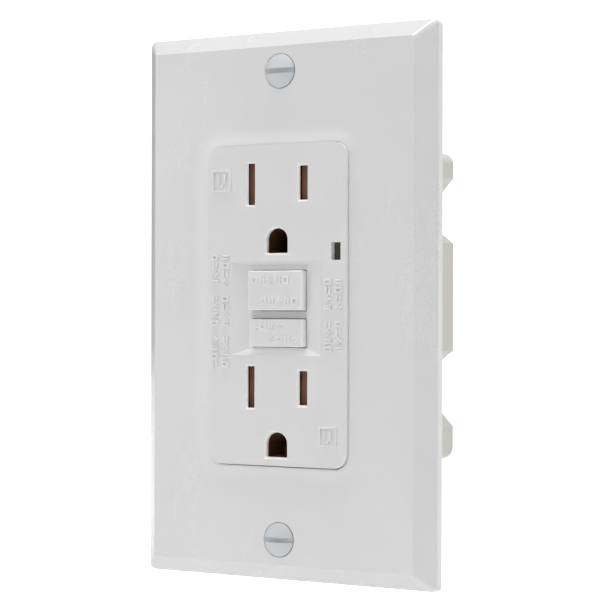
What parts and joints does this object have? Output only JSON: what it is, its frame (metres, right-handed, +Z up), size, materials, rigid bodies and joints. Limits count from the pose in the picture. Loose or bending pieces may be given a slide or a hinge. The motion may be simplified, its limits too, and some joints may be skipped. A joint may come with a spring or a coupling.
{
  "type": "gfci outlet",
  "caption": "Duplex ground-fault receptacle with reset and test buttons, indicator window, shuttered slots, steel strap and single-gang wall plate.",
  "frame": {"origin": "middle of the wall plate, on the plane of the wall", "axes": "+X to the right as seen from the room, +Y into the wall, +Z up"},
  "size_m": [0.0698, 0.038, 0.1142],
  "materials": {
    "plate_plastic": "smooth moulded white nylon, gloss",
    "face_plastic": "smooth moulded white thermoplastic, gloss",
    "button_plastic": "smooth moulded white thermoplastic, satin",
    "head_enamel": "white enamel on steel",
    "lamp_plastic": "smoked clear plastic",
    "lamp_lens": "tinted epoxy",
    "case_plastic": "fine spark-eroded warm grey thermoplastic",
    "housing_plastic": "fine-grained grey thermoplastic",
    "shutter_plastic": "brown moulded plastic",
    "black_plastic": "black moulded plastic",
    "zinc_steel": "zinc-plated steel",
    "spring_steel": "drawn spring steel",
    "brass": "stamped brass",
    "brass_screw": "turned brass",
    "silver_screw": "nickel-plated steel",
    "green_screw": "green dyed steel",
    "silver_contact": "silver alloy",
    "copper_wire": "enamelled copper wire",
    "fibre": "vulcanised fibre",
    "board_laminate": "green glass laminate",
    "component_body": "coated component body"
  },
  "bodies": {
    "receptacle": {"wall_plate": "plate_plastic", "plate_screws": "head_enamel", "front_cover": "face_plastic", "reset_spring": "spring_steel", "test_pin": "brass", "indicator_light_pipe": "lamp_plastic", "indicator_led": "lamp_lens", "mounting_strap": "zinc_steel", "device_screws": "zinc_steel", "screw_retainers": "fibre", "contact_rivets": "zinc_steel", "middle_housing": "housing_plastic", "rear_case": "case_plastic", "case_screws": "zinc_steel", "fixed_contacts": "silver_contact", "circuit_board": "board_laminate", "control_chip": "black_plastic", "thyristor": "black_plastic", "varistor": "component_body", "capacitors": "black_plastic", "resistors": "component_body", "plunger_spring": "spring_steel", "solenoid_frame": "zinc_steel", "solenoid_bobbin": "housing_plastic", "solenoid_coil": "copper_wire", "transformer_housing": "black_plastic", "sense_transformer": "copper_wire", "neutral_transformer": "copper_wire", "upper_ground_contact": "brass", "upper_shutter_spring": "spring_steel", "upper_shutter_tray": "housing_plastic", "lower_ground_contact": "brass", "lower_shutter_spring": "spring_steel", "lower_shutter_tray": "housing_plastic", "neutral_contact_bar": "brass", "load_neutral_terminal": "brass", "line_neutral_terminal": "brass", "hot_contact_bar": "brass", "load_hot_terminal": "brass", "line_hot_terminal": "brass"},
    "reset_button": {"reset_button": "button_plastic", "reset_pin": "zinc_steel"},
    "test_button": {"test_button": "button_plastic"},
    "test_contact": {"test_contact": "spring_steel"},
    "upper_shutter": {"upper_shutter": "shutter_plastic"},
    "lower_shutter": {"lower_shutter": "shutter_plastic"},
    "plunger": {"plunger": "zinc_steel"},
    "latch_block": {"latch_block": "black_plastic"},
    "latch_plate": {"latch_plate": "zinc_steel"},
    "hot_contact_arm": {"hot_contact_arm": "brass"},
    "neutral_contact_arm": {"neutral_contact_arm": "brass"},
    "ground_screw": {"ground_screw": "green_screw"},
    "load_hot_screw": {"load_hot_screw": "brass_screw"},
    "load_hot_clamp": {"load_hot_clamp": "zinc_steel"},
    "line_hot_screw": {"line_hot_screw": "brass_screw"},
    "line_hot_clamp": {"line_hot_clamp": "zinc_steel"},
    "load_neutral_screw": {"load_neutral_screw": "silver_screw"},
    "load_neutral_clamp": {"load_neutral_clamp": "zinc_steel"},
    "line_neutral_screw": {"line_neutral_screw": "silver_screw"},
    "line_neutral_clamp": {"line_neutral_clamp": "zinc_steel"}
  },
  "joints": [
    {"name": "reset_press", "type": "slide", "parent": "receptacle", "child": "reset_button", "axis": [0, 1, 0], "range_m": [0, 0.002], "stiffness_N_per_m": 500, "springref_m": -0.001, "deforming": ["reset_spring"]},
    {"name": "test_press", "type": "slide", "parent": "receptacle", "child": "test_button", "axis": [0, 1, 0], "range_m": [0, 0.0016], "stiffness_N_per_m": 500, "springref_m": -0.001},
    {"name": "test_leaf_bend", "type": "hinge", "parent": "receptacle", "child": "test_contact", "pos_m": [0, 0.0022, -0.0132], "axis": [-1, 0, 0], "range_deg": [0, 13.8]},
    {"name": "plunger_pull", "type": "slide", "parent": "receptacle", "child": "plunger", "axis": [0, 0, 1], "range_m": [0, 0.002], "stiffness_N_per_m": 80, "springref_m": -0.002, "deforming": ["plunger_spring"]},
    {"name": "latch_block_drop", "type": "slide", "parent": "receptacle", "child": "latch_block", "axis": [0, 1, 0], "range_m": [0, 0.00185]},
    {"name": "latch_plate_slide", "type": "slide", "parent": "latch_block", "child": "latch_plate", "axis": [0, 0, 1], "range_m": [0, 0.00205]},
    {"name": "hot_arm_bend", "type": "hinge", "parent": "receptacle", "child": "hot_contact_arm", "pos_m": [0.0105, 0.0158, -0.0115], "axis": [-1, 0, 0], "range_deg": [0, 7]},
    {"name": "neutral_arm_bend", "type": "hinge", "parent": "receptacle", "child": "neutral_contact_arm", "pos_m": [-0.0105, 0.0158, -0.0115], "axis": [-1, 0, 0], "range_deg": [0, 7]},
    {"name": "upper_shutter_slide", "type": "slide", "parent": "receptacle", "child": "upper_shutter", "axis": [1, 0, 0], "range_m": [0, 0.003], "stiffness_N_per_m": 50, "springref_m": -0.001, "deforming": ["upper_shutter_spring"]},
    {"name": "lower_shutter_slide", "type": "slide", "parent": "receptacle", "child": "lower_shutter", "axis": [1, 0, 0], "range_m": [0, 0.003], "stiffness_N_per_m": 50, "springref_m": -0.001, "deforming": ["lower_shutter_spring"]},
    {"name": "load_hot_screw_turn", "type": "hinge", "parent": "receptacle", "child": "load_hot_screw", "pos_m": [0.018, 0.019, 0.02005], "axis": [1, 0, 0], "range_deg": [0, 1080]},
    {"name": "load_hot_clamp_slide", "type": "slide", "parent": "receptacle", "child": "load_hot_clamp", "axis": [-1, 0, 0], "range_m": [0, 0.0024]},
    {"name": "line_hot_screw_turn", "type": "hinge", "parent": "receptacle", "child": "line_hot_screw", "pos_m": [0.018, 0.019, -0.01738], "axis": [1, 0, 0], "range_deg": [0, 1080]},
    {"name": "line_hot_clamp_slide", "type": "slide", "parent": "receptacle", "child": "line_hot_clamp", "axis": [-1, 0, 0], "range_m": [0, 0.0024]},
    {"name": "load_neutral_screw_turn", "type": "hinge", "parent": "receptacle", "child": "load_neutral_screw", "pos_m": [-0.018, 0.019, 0.02005], "axis": [-1, 0, 0], "range_deg": [0, 1080]},
    {"name": "load_neutral_clamp_slide", "type": "slide", "parent": "receptacle", "child": "load_neutral_clamp", "axis": [1, 0, 0], "range_m": [0, 0.0024]},
    {"name": "line_neutral_screw_turn", "type": "hinge", "parent": "receptacle", "child": "line_neutral_screw", "pos_m": [-0.018, 0.019, -0.01738], "axis": [-1, 0, 0], "range_deg": [0, 1080]},
    {"name": "line_neutral_clamp_slide", "type": "slide", "parent": "receptacle", "child": "line_neutral_clamp", "axis": [1, 0, 0], "range_m": [0, 0.0024]},
    {"name": "ground_screw_turn", "type": "hinge", "parent": "receptacle", "child": "ground_screw", "pos_m": [-0.012, 0.0056, -0.0382], "axis": [-1, 0, 0], "range_deg": [0, 1080]}
  ],
  "couplings": [
    {"joint": "test_leaf_bend", "follows": "test_press", "rad_per_m": 146.88},
    {"joint": "latch_block_drop", "follows": "plunger_pull", "ratio": 0.9},
    {"joint": "latch_plate_slide", "follows": "plunger_pull", "ratio": 1},
    {"joint": "hot_arm_bend", "follows": "plunger_pull", "rad_per_m": 58.621},
    {"joint": "neutral_arm_bend", "follows": "plunger_pull", "rad_per_m": 58.621},
    {"joint": "load_hot_screw_turn", "follows": "load_hot_clamp_slide", "rad_per_m": 7853.9},
    {"joint": "line_hot_screw_turn", "follows": "line_hot_clamp_slide", "rad_per_m": 7853.9},
    {"joint": "load_neutral_screw_turn", "follows": "load_neutral_clamp_slide", "rad_per_m": 7853.9},
    {"joint": "line_neutral_screw_turn", "follows": "line_neutral_clamp_slide", "rad_per_m": 7853.9}
  ]
}
